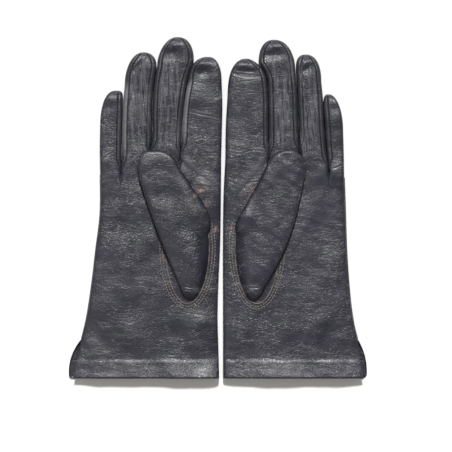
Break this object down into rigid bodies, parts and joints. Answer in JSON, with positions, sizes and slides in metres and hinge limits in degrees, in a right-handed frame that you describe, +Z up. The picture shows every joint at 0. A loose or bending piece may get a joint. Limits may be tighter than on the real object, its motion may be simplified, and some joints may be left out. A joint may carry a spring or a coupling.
{
  "type": "leather gloves",
  "caption": "Pair of slim unlined leather dress gloves lying palms up with folded thumbs, flared vented cuffs, curling fingers and swinging thumbs.",
  "frame": {"origin": "centre of the pair on the surface it lies on", "axes": "+X from the right-hand glove to the left-hand glove, +Y from cuffs to fingertips, +Z up out of the palms"},
  "size_m": [0.2258, 0.2508, 0.017],
  "materials": {
    "leather": "smooth charcoal glove leather, satin, finely creased",
    "thread": "matt brown-grey sewing thread"
  },
  "bodies": {
    "right_hand": {"right_palm": "leather", "right_back": "leather", "right_cuff_hem_palm": "leather", "right_cuff_hem_back": "leather", "right_side_seam": "leather", "right_fourchette_roots": "leather", "right_thumb_root": "leather", "right_thumb_hole_stitching": "thread", "right_back_points": "thread"},
    "right_thumb": {"right_thumb_front": "leather", "right_thumb_back": "leather", "right_thumb_seam": "thread"},
    "right_index": {"right_index_front": "leather", "right_index_back": "leather", "right_index_outer_fourchette": "leather", "right_index_seams": "thread"},
    "right_middle": {"right_middle_front": "leather", "right_middle_back": "leather", "right_middle_inner_fourchette": "leather", "right_middle_outer_fourchette": "leather", "right_middle_seams": "thread"},
    "right_ring": {"right_ring_front": "leather", "right_ring_back": "leather", "right_ring_inner_fourchette": "leather", "right_ring_outer_fourchette": "leather", "right_ring_seams": "thread"},
    "right_little": {"right_little_front": "leather", "right_little_back": "leather", "right_little_inner_fourchette": "leather", "right_little_seams": "thread"},
    "left_hand": {"left_palm": "leather", "left_back": "leather", "left_cuff_hem_palm": "leather", "left_cuff_hem_back": "leather", "left_side_seam": "leather", "left_fourchette_roots": "leather", "left_thumb_root": "leather", "left_thumb_hole_stitching": "thread", "left_back_points": "thread"},
    "left_thumb": {"left_thumb_front": "leather", "left_thumb_back": "leather", "left_thumb_seam": "thread"},
    "left_index": {"left_index_front": "leather", "left_index_back": "leather", "left_index_outer_fourchette": "leather", "left_index_seams": "thread"},
    "left_middle": {"left_middle_front": "leather", "left_middle_back": "leather", "left_middle_inner_fourchette": "leather", "left_middle_outer_fourchette": "leather", "left_middle_seams": "thread"},
    "left_ring": {"left_ring_front": "leather", "left_ring_back": "leather", "left_ring_inner_fourchette": "leather", "left_ring_outer_fourchette": "leather", "left_ring_seams": "thread"},
    "left_little": {"left_little_front": "leather", "left_little_back": "leather", "left_little_inner_fourchette": "leather", "left_little_seams": "thread"}
  },
  "joints": [
    {"name": "right_index_curl", "type": "hinge", "parent": "right_hand", "child": "right_index", "pos_m": [-0.0151, 0.045, 0.0097], "axis": [1, 0, 0], "range_deg": [0, 90]},
    {"name": "right_middle_curl", "type": "hinge", "parent": "right_hand", "child": "right_middle", "pos_m": [-0.0402, 0.045, 0.0097], "axis": [1, 0, 0], "range_deg": [0, 90]},
    {"name": "right_ring_curl", "type": "hinge", "parent": "right_hand", "child": "right_ring", "pos_m": [-0.0624, 0.045, 0.0097], "axis": [1, 0, 0], "range_deg": [0, 90]},
    {"name": "right_little_curl", "type": "hinge", "parent": "right_hand", "child": "right_little", "pos_m": [-0.0816, 0.034, 0.0097], "axis": [1, 0, 0], "range_deg": [0, 90]},
    {"name": "right_thumb_swing", "type": "hinge", "parent": "right_hand", "child": "right_thumb", "pos_m": [-0.0083, -0.013, 0.0097], "axis": [0, 1, 0], "range_deg": [0, 90]},
    {"name": "left_index_curl", "type": "hinge", "parent": "left_hand", "child": "left_index", "pos_m": [0.0151, 0.045, 0.0097], "axis": [1, 0, 0], "range_deg": [0, 90]},
    {"name": "left_middle_curl", "type": "hinge", "parent": "left_hand", "child": "left_middle", "pos_m": [0.0402, 0.045, 0.0097], "axis": [1, 0, 0], "range_deg": [0, 90]},
    {"name": "left_ring_curl", "type": "hinge", "parent": "left_hand", "child": "left_ring", "pos_m": [0.0624, 0.045, 0.0097], "axis": [1, 0, 0], "range_deg": [0, 90]},
    {"name": "left_little_curl", "type": "hinge", "parent": "left_hand", "child": "left_little", "pos_m": [0.0816, 0.034, 0.0097], "axis": [1, 0, 0], "range_deg": [0, 90]},
    {"name": "left_thumb_swing", "type": "hinge", "parent": "left_hand", "child": "left_thumb", "pos_m": [0.0083, -0.013, 0.0097], "axis": [0, -1, 0], "range_deg": [0, 90]},
    {"name": "pair_slide", "type": "slide", "parent": "right_hand", "child": "left_hand", "axis": [1, 0, 0], "range_m": [0, 0.15]}
  ]
}
